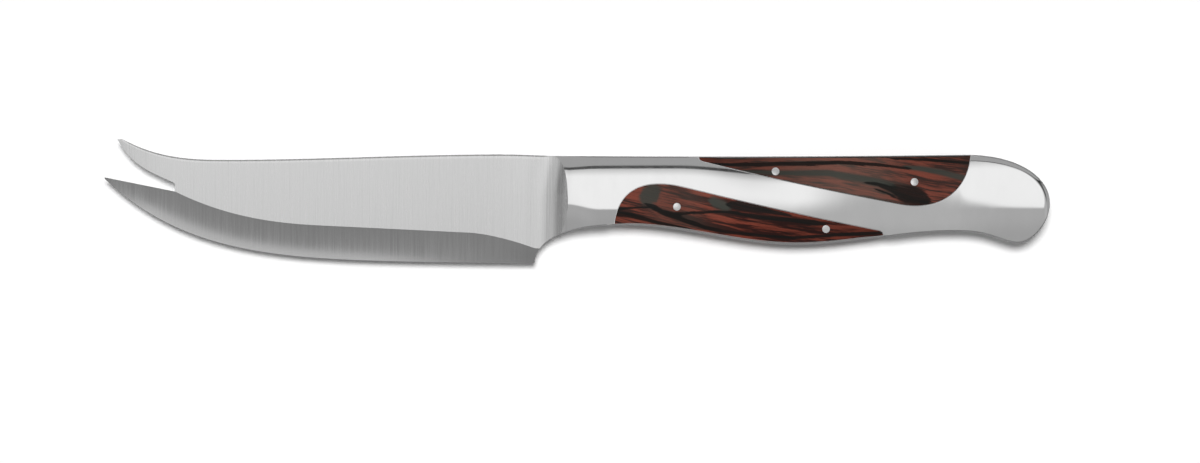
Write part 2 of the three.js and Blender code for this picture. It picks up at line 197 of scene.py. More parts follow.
# Streaks in the wood: points along each streak's middle, as distance back, height and half width. Black
# ones are nearly black, and the greyer ones are dark streaks lightened to dark grey as painted sheen
BLACK_STREAKS = {
    1: [
        [(37, -1.6, 0.2), (45, -2.2, 0.45), (53, -2.1, 0.65), (67, -1.7, 0.65), (75, -1.5, 0.55),
         (85, -2.1, 0.5), (95, -3.3, 0.3)],
        [(81, -7.0, 0.25), (85.5, -7.6, 0.6), (89, -8.7, 1.1), (91, -9.6, 2.1), (93, -10.4, 2.9),
         (95.5, -10.8, 3.1), (98, -11.5, 2.2), (100.3, -12.4, 0.8)],
        [(84, -8.6, 0.2), (88, -10.0, 0.35), (91, -11.4, 0.4)],
        [(89, -0.4, 0.2), (99, -0.8, 0.4), (112, -1.8, 0.4)],
        [(42, 0.0, 0.2), (75, -0.1, 0.2), (112, 0.3, 0.2)],
    ],
    -1: [
        [(21, -12.8, 0.3), (24.3, -14.0, 0.8), (26.5, -15.2, 0.8), (29.5, -15.8, 0.7), (34, -15.4, 0.4),
         (41, -15.1, 0.4), (48, -15.2, 0.3)],
        [(12.5, -15.2, 1.2), (18, -16.1, 0.8), (22, -17.2, 0.6), (25, -18.0, 0.5), (31, -19.2, 0.35),
         (35, -20.0, 0.2)],
        [(12.5, -14.4, 0.5), (18, -14.0, 0.3), (25, -13.7, 0.25)],
        [(25.5, -15.5, 0.3), (30, -16.4, 0.85), (34, -18.0, 0.8), (38, -19.4, 0.65), (44, -20.6, 0.5),
         (53, -21.6, 0.46), (62, -22.2, 0.46), (80, -21.1, 0.46), (87.5, -20.8, 0.45)],
        [(43.5, -12.9, 0.8), (47, -13.3, 1.3), (52, -14.2, 1.1), (57, -15.2, 0.6), (62, -16.2, 0.3)],
        [(42, -14.9, 0.25), (45, -15.3, 0.4), (53, -16.5, 0.6), (61.5, -17.4, 0.7), (68, -18.1, 0.7),
         (71.5, -18.6, 0.2)],
    ],
}
SHEEN_GREYED_STREAKS = {
    1: [
        [(47, -3.9, 0.3), (59, -4.4, 0.7), (72, -4.5, 0.9), (79, -5.8, 1.0), (86, -7.0, 1.0),
         (91, -8.4, 0.8)],
        [(92, -2.6, 0.3), (96.5, -3.1, 0.7), (103, -4.3, 0.9), (109, -5.9, 1.0), (113, -6.9, 1.0)],
    ],
    -1: [
        [(19.6, -11.4, 0.6), (21, -11.0, 2.4), (23, -10.4, 3.3), (24.7, -9.9, 2.7), (26.2, -8.8, 0.8)],
        [(38.5, -11.7, 0.4), (40.5, -12.4, 1.5), (43, -13.4, 1.7), (45.5, -14.2, 0.8)],
    ],
}

# Line that the wood's fibres follow: distance back and fall
FIBRE_LINE = {
    1: [(36, 0.0), (60, 0.0), (75, -1.0), (88, -3.6), (100, -6.2), (112, -7.8)],
    -1: [(12, 0.0), (30, -4.4), (48, -8.4), (62, -10.6), (75, -12.2), (88, -13.4)],
}

# Painted sheen and shade on the red wood: a tone scaling the red and a pale veil over it, as distance back
# and share
WOOD_SHEEN_AND_SHADE_TONE = {
    1: [(36, 0.7), (50, 0.85), (60, 1.15), (75, 1.6), (90, 1.3), (112, 1.2)],
    -1: [(12, 1.4), (22, 1.3), (30, 1.1), (38, 1.5), (46, 1.5), (56, 1.05), (75, 0.9), (88, 0.75)],
}
WOOD_SHEEN_VEIL = {
    1: [(36, 0.1), (55, 0.3), (65, 0.45), (85, 0.45), (95, 0.15), (112, 0.12)],
    -1: [(12, 0.08), (20, 0.1), (26, 0.28), (34, 0.25), (39, 0.08), (48, 0.0), (88, 0.0)],
}

# Fineness of the surfaces
EDGE_ROWS = np.array([0.0, 0.03, 0.07, 0.12, 0.2, 0.3, 0.55])
SHORT_COLUMN = 3.0
MIDDLE_ROWS = 14
WOOD_ROWS = 44
ACROSS_STEPS = 10
TINE_STEPS = 60
TINE_SPREAD = 1.3
FLAT_STEPS = 170
HEEL_STEPS = 26
SLOT_COLUMNS = 12
SLOT_BEND_FROM = 0.75
HEEL_COLUMNS = 29
BUTT_STEPS = 60
PIN_RINGS = np.array([0.0, 0.3, 0.6, 0.8, 0.87, 0.92, 0.96, 0.985, 1.0])
PIN_STEPS = 48
SEAM_SHARE = 0.5

# Searches by halving, small steps, and how near points are welded, in metres
HEEL_SEARCH = 2.0
HALVINGS = 50
NUDGE = 1e-3
HAIR = 1e-9
LEAST_STEEPNESS = 1e-6
WELD = 2e-6

# The handle's sides, and the row of its steel grid that lies along each one's border
SIDES = (1, -1)
BORDER_ROW = {1: -1, -1: 0}

# Stations of the handle's columns: both borders of the steel side run over the same stations, so that each
# column joins a place on the lower border to one on the upper border
STATIONS = {
    "bolster": -2.0,
    "lower_end": 13.7,
    "lower_turn": 33.1,
    "upper_point": 36.4,
    "upper_leave": 38.6,
    "lower_leave": 85.2,
    "lower_point": 87.4,
    "upper_turn": 91.9,
    "upper_end": 111.3,
    "butt": END_X,
}
STATION_STEPS = [44, 70, 12, 30, 120, 30, 12, 70]
OUTLINE_STATIONS = {
    1: ("upper_point", "upper_leave", "upper_turn", "upper_end"),
    -1: ("lower_point", "lower_leave", "lower_turn", "lower_end"),
}

# Grain: how rough its noise is, which span of its values counts, and how many finer layers it has
GRAIN_ROUGHNESS = 0.65
GRAIN_SPAN = (0.3, 0.7)
TONE_SPAN = (0.32, 0.68)
STEEL_DETAIL = 5.0
FIBRE_DETAIL = 4.0
CLOUD_DETAIL = 3.0
RELIEF_DEPTH = 0.0001

# Steel finishes: grain in steps per metre along x, y and z, lowest and highest grey, lowest and highest
# roughness, and relief. On the blade the grain runs across, and on the handle's edges along
STEEL_FINISHES = {
    "brushed_flat": ((2600.0, 60.0, 60.0), (0.51, 0.625), (0.20, 0.28), 0.08),
    # The bevel is the flat's steel: its lower grey is painted shade
    "brushed_bevel_painted_shade": ((2600.0, 60.0, 60.0), (0.36, 0.41), (0.18, 0.24), 0.08),
    "polished_side": ((260.0, 90.0, 90.0), (0.64, 0.66), (0.05, 0.08), 0.0),
    # Edge strips along spine and underside: satin roughness, with a low grey that is painted shade
    "satin_edge_painted_shade": ((60.0, 2500.0, 2500.0), (0.23, 0.28), (0.38, 0.48), 0.1),
    "satin_pin": ((2500.0, 2500.0, 2500.0), (0.74, 0.82), (0.30, 0.40), 0.1),
}

# Wood: colours, grain in steps per metre along and across the fibres, the span of it over which the red
# lightens, how the fibres fray the streaks' borders, how far the streaks cover and end, and gloss
WOOD_DARK = (0.016, 0.0045, 0.0035)
WOOD_LIGHT = (0.138, 0.030, 0.018)
# Pale grey of painted sheen, laid over the red by the veil's share
WOOD_SHEEN_PALE = (0.072, 0.060, 0.050)
# Dark grey of the greyer streaks: dark wood lightened by painted sheen
WOOD_SHEEN_GREYED_DARK = (0.028, 0.030, 0.0255)
WOOD_BLACK = (0.004, 0.004, 0.0035)
FIBRE_SQUEEZE = (110.0, 1700.0, 800.0)
CLOUD_SQUEEZE = (25.0, 380.0, 180.0)
RED_SPAN = (0.72, 1.28)
STREAK_FRAY = (-0.3, 0.3)
STREAK_BORDERS = {"sheen_greyed": (0.05, 0.75), "black": (0.22, 0.62)}
STREAK_COVER = 0.94
STREAK_END_OUT = 0.5
STREAK_END_IN = 1.5
WOOD_GLOSS = (0.34, 0.26)
WOOD_SPECULAR = 0.14

# Floor and studio, in metres and levels of light
FLOOR_HALF = 6.0
FLOOR_WHITE = 0.95
FLOOR_GLOW = 0.08
WORLD_SEEN = 0.50
WORLD_LIGHT = 0.13

# Softbox overhead: ranges of x and y in metres, levels of its glow, and the share of it that a fade leaves
BOX_HEIGHT = 1.0
BOX_X = (-6.0, 0.6)
BOX_Y = (-0.10, 0.88)
BOX_RADIANCE = 1.29
BOX_FADES_LEFT = [((-0.48, -0.19), 0.64), ((-2.2, -0.9), 0.34)]
BOX_FADE_RIGHT = (0.205, 0.095)
BOX_RIGHT_LEVEL = 0.62
BOX_FADE_FAR = 0.25
BOX_FAR_SHARE = 0.65
BOX_BLUR_X = (0.02, 0.10)
BOX_BLUR_NEAR = (0.04, 0.45)
BOX_FRAME_FAR = 0.10
BOX_FRAME_RIGHT = 0.25
BOX_FRAME_BLUR = 0.004
BOX_FRAME_SHARE = 0.12
BOX_SURROUND_NEAR = 1.1
BOX_SURROUND_X = (-0.15, 0.20)
BOX_SURROUND = (0.52, 0.63)
BOX_SURROUND_LEFT = (-0.30, -0.15)
BOX_SURROUND_LEFT_GAIN = 1.08
BOX_SURROUND_FADE = (-0.2, -0.6)
BOX_SURROUND_SHARE = 0.88

# Key light from above the spine, with its spread in degrees, and camera, in metres
KEY_STRENGTH = 2.76
KEY_ANGLE = 13.0
KEY_FROM = (0.0, 0.17, 1.0)
FRAME_WIDTH = 0.330
CAMERA_HEIGHT = 2.5
CAMERA_X = 0.00641
CAMERA_Y = -0.00834
SENSOR_WIDTH = 36.0


def share_of(value, start, stop):
    """How far a value lies from start to stop, held between 0 and 1."""
    return np.clip((value - start) / (stop - start), 0.0, 1.0)


def mix(start, stop, share):
    """The value a share of the way from start to stop."""
    return start + (stop - start) * share


def smooth(share):
    """A share that starts and stops gently: three squares less two cubes."""
    return share * share * (3.0 - 2.0 * share)


def quarter_round(share, power):
    """Quarter of a superellipse: 1 at share 0, falling to 0 at share 1."""
    return np.maximum(0.0, 1.0 - share**power) ** (1.0 / power)


def gentle_steps(x, places, values):
    """Value that goes by gentle steps from each place to the next."""
    shares = [smooth(share_of(x, start, stop)) for start, stop in zip(places, places[1:])]
    return values[0] + sum(rise * share for rise, share in zip(np.diff(values), shares))


def spine_height(x):
    """Upper edge of blade and handle: the tine's sweep, a dip, a crest, a slight sag, and a superellipse
    round the butt."""
    tine = share_of(x, -SPINE_DIP_AHEAD, UPPER_TIP_X + UPPER_TINE_LAND) ** UPPER_TINE_SWEEP
    dip = smooth(share_of(-x, SPINE_CREST_AHEAD, SPINE_DIP_AHEAD))
    crest = smooth(share_of(-x, 0.0, SPINE_CREST_AHEAD))
    along = share_of(x, 0.0, BUTT_TOP_X)
    fall = quarter_round(share_of(x, BUTT_TOP_X, END_X), BUTT_TOP_POWER)
    handle = mix(SPINE_RISE_AT_BOLSTER, BUTT_TOP_RISE, along) - 4.0 * SPINE_SAG * along * (1.0 - along)
    return np.select(
        [x > BUTT_TOP_X, x > 0.0, x > -SPINE_CREST_AHEAD, x > -SPINE_DIP_AHEAD],
        [
            mix(-BUTT_END_DEPTH, BUTT_TOP_RISE, fall),
            handle,
            mix(SPINE_RISE_AT_BOLSTER, SPINE_CREST_RISE, crest),
            mix(SPINE_CREST_RISE, -SPINE_DIP_DEPTH, dip),
        ],
        mix(-SPINE_DIP_DEPTH, UPPER_TINE_RISE, tine),
    )


def cutting_edge(x):
    """Cutting edge from heel to lower tine: a high power of the share, with a little of a nearly straight
    rise."""
    share = share_of(x, HEEL_X, TIP_X)
    sweep = mix(share**EDGE_POWER, share**EDGE_SLOPE_POWER, EDGE_SLOPE_SHARE)
    return mix(-HEEL_DEPTH, -LOWER_TINE_DEPTH - LOWER_TINE_LAND, sweep)


def grind_line(x):
    """Upper limit of the bevel: the lower tine's straight top, a sweep, a falling line, and a drop at the
    heel."""
    tine = mix(-LOWER_TINE_DEPTH, -SLOT_DEPTH, share_of(x, TIP_X, SLOT_END_X))
    straight = -BEVEL_MIDDLE_DEPTH - BEVEL_FALL * (x - BEVEL_MIDDLE_X)
    tip_lift = BEVEL_MIDDLE_DEPTH - SLOT_DEPTH + BEVEL_FALL * (SLOT_END_X - BEVEL_MIDDLE_X)
    lift = tip_lift * share_of(x, BEVEL_MIDDLE_X, SLOT_END_X) ** BEVEL_TIP_SWEEP
    drop = BEVEL_HEEL_DROP * share_of(x, BEVEL_RUN_OUT_X, HEEL_X) ** BEVEL_HEEL_SWEEP
    return np.where(x < SLOT_END_X, tine, straight + lift - drop)


def upper_tine_underside(x):
    """Lower side of the upper tine: a straight rise mixed with a power of the share towards its tip."""
    share = share_of(x, SLOT_END_X, UPPER_TIP_X)
    sweep = mix(share**SLOT_SWEEP, share, SLOT_SLOPE_SHARE)
    return mix(-SLOT_DEPTH + SLOT_WIDTH, UPPER_TINE_RISE, sweep)


def underside_height(x):
    """Lower edge of the handle: the heel's hollow curve, then gentle steps to belly, waist and butt."""
    hollow = np.sqrt(1.0 - share_of(x, NECK_X, HEEL_X) ** NECK_SWEEP)
    flare = share_of(x, WAIST_X, BUTT_LOW_X) ** WAIST_SWEEP
    fall = quarter_round(share_of(x, BUTT_LOW_X, END_X), BUTT_LOW_POWER)
    return np.select(
        [x < NECK_X, x < BELLY_X, x < WAIST_X, x < BUTT_LOW_X],
        [
            mix(-HEEL_DEPTH, -NECK_DEPTH, hollow),
            mix(-NECK_DEPTH, -BELLY_DEPTH, smooth(share_of(x, NECK_X, BELLY_X))),
            mix(-BELLY_DEPTH, -WAIST_DEPTH, smooth(share_of(x, BELLY_X, WAIST_X))),
            mix(-WAIST_DEPTH, -BUTT_DEPTH, smooth(flare)),
        ],
        mix(-BUTT_END_DEPTH, -BUTT_DEPTH, fall),
    )


def heel_curve_x(y):
    """Where the heel's hollow curve lies at a height: the curve of underside_height solved for x."""
    rise = share_of(y, -HEEL_DEPTH, -NECK_DEPTH)
    return mix(NECK_X, HEEL_X, (1.0 - rise * rise) ** (1.0 / NECK_SWEEP))


def flat_half(x, y):
    """Half thickness of the blade's flats, tapering in proportion to x and y."""
    return SPINE_HALF + (SPINE_HALF - TIP_HALF) / BLADE_LENGTH * x + FLAT_TAPER * y


def blade_half(x, y):
    """The flats and the circle left by the grinding wheel at the bolster, joined by a soft maximum. Towards
    the spine the wheel leans back by a power of the share. Ahead of its lowest place the wheel's surface is
    bent away below the flats, so that these keep their thickness."""
    foot = flat_half(WHEEL_X, -HEEL_DEPTH) - WHEEL_BITE
    lean = WHEEL_LEAN * share_of(y, -WHEEL_LEAN_DEPTH, 0.0) ** WHEEL_LEAN_POWER
    along = x - WHEEL_X - lean
    rise = WHEEL_RADIUS - np.sqrt(WHEEL_RADIUS**2 - np.clip(along, 0.0, WHEEL_RADIUS) ** 2)
    fall = np.minimum(along, 0.0) ** 2 / (2.0 * WHEEL_RADIUS)
    wheel = foot + rise - fall
    flat = flat_half(x, y)
    return (flat + wheel + np.sqrt((flat - wheel) ** 2 + BOLSTER_BLEND**2)) / 2.0


def handle_edge(x, side):
    """Spine of the handle for side 1, its underside for side -1."""
    return spine_height(x) if side > 0 else underside_height(x)


def edge_stretch(x, side):
    """How much longer a distance is along y than square to the handle's edge, from the edge's slope."""
    ahead, behind = np.minimum(x + NUDGE, END_X), x - NUDGE
    slope = (handle_edge(ahead, side) - handle_edge(behind, side)) / (ahead - behind)
    return np.sqrt(1.0 + slope**2)


def widest_height(x):
    """Line along which the handle is widest: gentle steps between its depths along the handle."""
    return -gentle_steps(x, WIDEST_X, WIDEST_DEPTH)


def from_butt(x, y):
    """Distance inwards from the superellipse round the butt: how far its formula falls short of 1, over the
    formula's steepness."""
    length, height = END_X - BUTT_TOP_X, BUTT_TOP_RISE + BUTT_END_DEPTH
    along = share_of(x, BUTT_TOP_X, END_X)
    up = np.maximum(y + BUTT_END_DEPTH, 0.0) / height
    short = 1.0 - along**BUTT_TOP_POWER - up**BUTT_TOP_POWER
    power = BUTT_TOP_POWER - 1.0
    steepness = BUTT_TOP_POWER * np.hypot(along**power / length, up**power / height)
    return short / np.maximum(steepness, LEAST_STEEPNESS)


def crown_half(x, y):
    """Half thickness before the edges are rounded: swell, narrowing and flare along x, a wide circle over
    y, and a sloping shoulder that bends down along the butt's edge."""
    swell = 1.0 - (1.0 - share_of(x, 0.0, SWELL_LENGTH)) ** 2
    narrowing = smooth(share_of(x, BELLY_X, THIN_X)) - share_of(x, THIN_X, END_X) ** FLARE_POWER
    half = mix(BOLSTER_HALF, HANDLE_HALF, swell) - (HANDLE_HALF - THIN_HALF) * narrowing
    radius = gentle_steps(x, CROWN_X, CROWN_RADIUS)
    bend = np.logaddexp(0.0, (SHOULDER_WIDTH - from_butt(x, y)) / SHOULDER_BEND) * SHOULDER_BEND
    shoulder = SHOULDER_SLOPE * bend * smooth(share_of(x, *SHOULDER_X))
    return half - (y - widest_height(x)) ** 2 / (2.0 * radius) - shoulder


def between(x, start, stop):
    """A value that grows gently from 0 to 1 over the start's range of x and falls back over the stop's."""
    return smooth(share_of(x, *start)) * smooth(share_of(x, *stop))


def beside_wood(x, side):
    """How far the strip at x belongs to the wood: 0 along the steel, 1 along the whole of the wood."""
    return between(x, WOOD_EDGE_START[side], WOOD_EDGE_STOP[side])


def halving(low, high, is_ahead):
    """Place between low and high up to which is_ahead holds, by halving the range many times."""
    for _ in range(HALVINGS):
        x = np.asarray((low + high) / 2.0)
        ahead = is_ahead(x)
        low, high = np.where(ahead, x, low), np.where(ahead, high, x)
    return x


def bolster_end(side):
    """Where the wheel's hollow is as thick as the handle, on its spine or its underside."""

    def is_ahead(x):
        y = handle_edge(x, side)
        return ~(blade_half(x, y) > crown_half(x, y))

    return float(halving(*BOLSTER_SEARCH_X, is_ahead))


BOLSTER_TOP_X = bolster_end(1)
BOLSTER_LOW_X = bolster_end(-1)


def strip_fade(x, side):
    """How far the strip along spine or underside has changed from the bolster's form to the handle's."""
    start, stop = (BOLSTER_TOP_X, STRIP_TOP_X) if side > 0 else (BOLSTER_LOW_X, STRIP_LOW_X)
    return smooth(share_of(x, start, stop))


def strip_drop(x, side):
    """Width of the slanting borders of the strip, square to the edge: none at the bolster and the butt's
    end, and mixed between the steel's and the wood's along the handle."""
    width = mix(STEEL_STRIP, WOOD_STRIP[side], beside_wood(x, side)) * strip_fade(x, side)
    return width * (1.0 - share_of(x, END_X - STRIP_END_LENGTH, END_X) ** STRIP_END_POWER)


def strip_height(x, side):
    """Height at which the handle's side meets the strip's slanting border."""
    return handle_edge(x, side) - side * strip_drop(x, side) * edge_stretch(x, side)


def strip_half(x, side):
    """Half width of the strip along spine or underside: the crown's, and beside the wood the tang's."""
    return mix(crown_half(x, strip_height(x, side)), TANG_HALF, beside_wood(x, side))


def handle_side_half(x, y):
    """Half thickness of the handle: the crown, brought down to the strip by a quarter ellipse."""
    rounding = np.ones_like(x)
    for side in SIDES:
        round_share = between(x, WOOD_ROUND_START[side], WOOD_ROUND_STOP[side])
        depth = mix(STEEL_ROUND, WOOD_ROUND, round_share) * edge_stretch(x, side)
        inside = np.clip(1.0 - side * (strip_height(x, side) - y) / depth, 0.0, 1.0)
        rounding = rounding * (1.0 - inside**2)
    strip = np.where(y > widest_height(x), strip_half(x, 1), strip_half(x, -1))
    return np.sqrt(strip**2 + (crown_half(x, y) ** 2 - strip**2) * rounding)


def band_edge(x, side):
    """Edge of the slanting band: a straight line with a slight bow, half the band's width up or down."""
    along = x - BELLY_X
    return -BAND_DEPTH_AT_BELLY - BAND_SLOPE * along + along**2 / (2.0 * BAND_BOW_RADIUS) + side * BAND_HALF


def bezier(points, share):
    """Bezier curve of any degree by repeated mixing of its points."""
    rows = [np.multiply.outer(np.ones_like(share), np.array(point)) for point in points]
    while len(rows) > 1:
        rows = [mix(first, second, share[:, None]) for first, second in zip(rows, rows[1:])]
    return rows[0]


def inlay_outline(side, turn, inset=0.0):
    """Outline of an inlay where it meets the steel. Turn runs from 0 to 3: a small rounded point from the
    strip at the handle's edge to the band, the band's edge, and a broad rounded end back to the strip. The
    whole outline can be set in along its own normal."""
    point_x, end_x = POINT_X[side], ROUND_END_X[side]
    ahead = np.sign(end_x - point_x)
    leave_x = point_x + ahead * INLAY_POINT_RADIUS
    turn_x = end_x - ahead * INLAY_END_LENGTH
    reach = ahead * INLAY_END_REACH
    slope = (turn_x - BELLY_X) / BAND_BOW_RADIUS - BAND_SLOPE

    def trace(at):
        point = bezier(
            [
                (point_x, float(strip_height(np.array(point_x), side))),
                (point_x, band_edge(point_x, side)),
                (leave_x, band_edge(leave_x, side)),
            ],
            np.clip(at, 0.0, 1.0),
        )
        band_x = mix(leave_x, turn_x, np.clip(at - 1.0, 0.0, 1.0))
        band = np.column_stack([band_x, band_edge(band_x, side)])
        end_y = float(strip_height(np.array(end_x), side))
        end = bezier(
            [
                (turn_x, band_edge(turn_x, side)),
                (turn_x + reach, band_edge(turn_x, side) + slope * reach),
                (end_x - ahead * INLAY_END_LEAN, end_y - side * INLAY_END_RISE),
                (end_x, end_y),
            ],
            np.clip(at - 2.0, 0.0, 1.0),
        )
        return np.where(at[:, None] < 1.0, point, np.where(at[:, None] < 2.0, band, end))

    outline = trace(turn)
    if inset:
        along = trace(np.clip(turn + NUDGE, 0.0, 3.0)) - trace(np.clip(turn - NUDGE, 0.0, 3.0))
        along = along / np.linalg.norm(along, axis=1, keepdims=True)
        outline = outline + inset * side * ahead * np.column_stack([-along[:, 1], along[:, 0]])
        ends = [0, -1]
        outline[ends, 1] = strip_height(outline[ends, 0], side)
    return outline


def edge_rows(length, middle_rows=MIDDLE_ROWS):
    """Rows from one border to the other, as shares of each column's length: close together near both
    borders, where edges are eased, and evenly spread between."""
    near = EDGE_ROWS[:, None] / np.maximum(length, SHORT_COLUMN)[None, :]
    spread = np.linspace(0.0, 1.0, middle_rows + 2)[1:-1, None]
    middle = mix(near[-1], 1.0 - near[-1], spread)
    return np.vstack([near, middle, 1.0 - near[::-1]])


def eased(distance, radius):
    """Drop of a quarter circle of the given radius at a distance from the border."""
    inside = np.clip(radius - distance, 0.0, radius)
    return radius - np.sqrt(radius**2 - inside**2)


def across(border):
    """Strip from a border on the left side through to its mirror image, with rows spaced as cosines."""
    reach = np.cos(np.linspace(0.0, np.pi, ACROSS_STEPS + 1))[:, None]
    flat = np.ones_like(reach)
    return np.stack([flat * border[:, 0], flat * border[:, 1], reach * border[:, 2]], axis=-1)


def mirrored(grid):
    """The same points on the knife's right side."""
    return grid * np.array([1.0, 1.0, -1.0])


def both_sides(patches):
    """Patches of the left side, and their mirror images."""
    return patches + [(mirrored(grid), group, finish) for grid, group, finish in patches]


LOW, HIGH = [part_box("forged_body")[i] for i in range(2)]
ORIGIN = np.array([LOW[0] + BLADE_LENGTH * MM, LOW[1] + HEEL_DEPTH * MM, (LOW[2] + HIGH[2]) / 2.0])


def make_piece(name, patches, node, finishes, figure=None):
    """Closed mesh from grids of points. Each patch is a grid, the number of its smooth group and the number
    of its finish: neighbours in one group shade smoothly, and the border between two groups is crisp. A
    figure gives named values to keep at each point."""
    points, faces, groups, finish_numbers = [], [], [], []
    count = 0
    for grid, group, finish in patches:
        rows, columns = grid.shape[:2]
        index = count + np.arange(rows * columns).reshape(rows, columns)
        corners = [index[:-1, :-1], index[1:, :-1], index[1:, 1:], index[:-1, 1:]]
        faces.append(np.stack(corners, axis=-1).reshape(-1, 4))
        groups.append(np.full(len(faces[-1]), group))
        finish_numbers.append(np.full(len(faces[-1]), finish))
        points.append(grid.reshape(-1, 3))
        count += rows * columns
    mesh = bpy.data.meshes.new(name)
    mesh.from_pydata((np.concatenate(points) * MM + ORIGIN).tolist(), [], np.concatenate(faces).tolist())
    mesh.polygons.foreach_set("material_index", np.concatenate(finish_numbers))
    mesh.attributes.new("group", "INT", "FACE").data.foreach_set("value", np.concatenate(groups))
    if figure is not None:
        for value_name, values in figure(np.concatenate(points)).items():
            kind, key = ("FLOAT", "value") if values.ndim == 1 else ("FLOAT_VECTOR", "vector")
            mesh.attributes.new(value_name, kind, "POINT").data.foreach_set(key, values.ravel())
    solid = bmesh.new()
    solid.from_mesh(mesh)
    bmesh.ops.remove_doubles(solid, verts=solid.verts, dist=WELD)
    bmesh.ops.dissolve_degenerate(solid, edges=solid.edges, dist=WELD / 10.0)
    bmesh.ops.recalc_face_normals(solid, faces=solid.faces)
    solid.to_mesh(mesh)
    solid.free()
    mark_crisp_edges(mesh)
    for finish in finishes:
        mesh.materials.append(finish)
    piece = bpy.data.objects.new(name, mesh)
    bpy.context.collection.objects.link(piece)
    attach(piece, "root")
    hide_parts(node)
    return piece


def mark_crisp_edges(mesh):
    """Shades the mesh smooth, except along edges whose two faces belong to different groups."""
    sizes = np.zeros(len(mesh.polygons), dtype=np.int32)
    groups = np.zeros(len(mesh.polygons), dtype=np.int32)
    edges = np.zeros(len(mesh.loops), dtype=np.int32)
    mesh.polygons.foreach_get("loop_total", sizes)
    mesh.attributes["group"].data.foreach_get("value", groups)
    mesh.loops.foreach_get("edge_index", edges)
    corner_groups = np.repeat(groups, sizes)
    lowest = np.full(len(mesh.edges), groups.max(), dtype=np.int32)
    highest = np.zeros(len(mesh.edges), dtype=np.int32)
    np.minimum.at(lowest, edges, corner_groups)
    np.maximum.at(highest, edges, corner_groups)
    mesh.polygons.foreach_set("use_smooth", np.ones(len(mesh.polygons), dtype=bool))
    mesh.edges.foreach_set("use_edge_sharp", lowest != highest)


# Bolster line, where the brushed hollow meets the polished handle

BOLSTER_LOW = np.array([BOLSTER_LOW_X, float(underside_height(np.array(BOLSTER_LOW_X)))])
BOLSTER_TOP = np.array([BOLSTER_TOP_X, float(spine_height(np.array(BOLSTER_TOP_X)))])


def bolster_line():
    """Points where the wheel's hollow is as thick as the handle, at heights that run straight from
    underside to spine. Also their rows below and above the seam, and all rows, as shares of the height."""
    length = np.full(1, np.linalg.norm(BOLSTER_TOP - BOLSTER_LOW))
    low_rows = edge_rows(length * SEAM_SHARE)[:, 0]
    high_rows = edge_rows(length * (1.0 - SEAM_SHARE))[:, 0]
    rows = np.concatenate([low_rows * SEAM_SHARE, mix(SEAM_SHARE, 1.0, high_rows)[1:]])
    y = mix(BOLSTER_LOW[1], BOLSTER_TOP[1], rows)
    ahead, behind = np.full(len(rows), WHEEL_X), np.full(len(rows), WHEEL_X + WHEEL_RADIUS)
    x = halving(ahead, behind, lambda at: ~(blade_half(at, y) > handle_side_half(at, y)))
    x[0], x[-1] = BOLSTER_LOW_X, BOLSTER_TOP_X
    return np.column_stack([x, y, blade_half(x, y)]), low_rows, high_rows, rows


BOLSTER, LOW_ROWS, HIGH_ROWS, BOLSTER_ROWS = bolster_line()
SEAM_ROW = len(LOW_ROWS) - 1
SEAM_END = BOLSTER[SEAM_ROW, :2]


def bent_columns(low, high, rows, bend, fade):
    """Grid between two borders: straight columns, with a bend along x that fades from column to column."""
    grid = mix(low[None, :, :], high[None, :, :], rows[:, :, None])
    grid[:, :, 0] += bend[:, None] * fade[None, :]
    return grid


def with_thickness(grid, half):
    """Grid of x and y with the half thickness as its z."""
    return np.concatenate([grid, half[:, :, None]], axis=-1)


def heel_point():
    """Where the grind line runs into the heel's curve."""
    x = halving(HEEL_X, HEEL_X + HEEL_SEARCH, lambda at: underside_height(at) < grind_line(at))
    return np.array([float(x), float(underside_height(x))])


# Borders that the blade's faces share

HEEL = heel_point()
CORNER_X = SLOT_END_X - SLOT_CORNER_CUT
CORNER_Y = upper_tine_underside(CORNER_X) - SLOT_CORNER_CUT


def blade_columns(start, stop):
    """Places of the blade's columns: even steps from start to the heel point, then on to stop."""
    flat = mix(start, HEEL[0], np.linspace(0.0, 1.0, FLAT_STEPS + 1))
    heel = mix(HEEL[0], stop, np.linspace(0.0, 1.0, HEEL_STEPS + 1)[1:])
    return np.concatenate([flat, heel])


def tine_columns(tip, root):
    """Places of a tine's columns, closer together near its tip."""
    return mix(tip, root, np.linspace(0.0, 1.0, TINE_STEPS + 1) ** TINE_SPREAD)


def grind_border():
    """Lower border of the flat: the grind line to the heel point, then the heel's curve to the bolster."""
    x = blade_columns(SLOT_END_X, BOLSTER_LOW_X)
    return np.column_stack([x, np.where(x <= HEEL[0], grind_line(x), underside_height(x))])


def seam_border():
    """Straight seam across the flat, from the slot's upper corner to the bolster line."""
    x = blade_columns(CORNER_X, SEAM_END[0])
    return np.column_stack([x, mix(CORNER_Y, SEAM_END[1], share_of(x, CORNER_X, SEAM_END[0]))])


GRIND_BORDER = grind_border()
SEAM = seam_border()
NEAR_BOLSTER = smooth(share_of(np.arange(len(SEAM)), FLAT_STEPS, FLAT_STEPS + HEEL_STEPS))


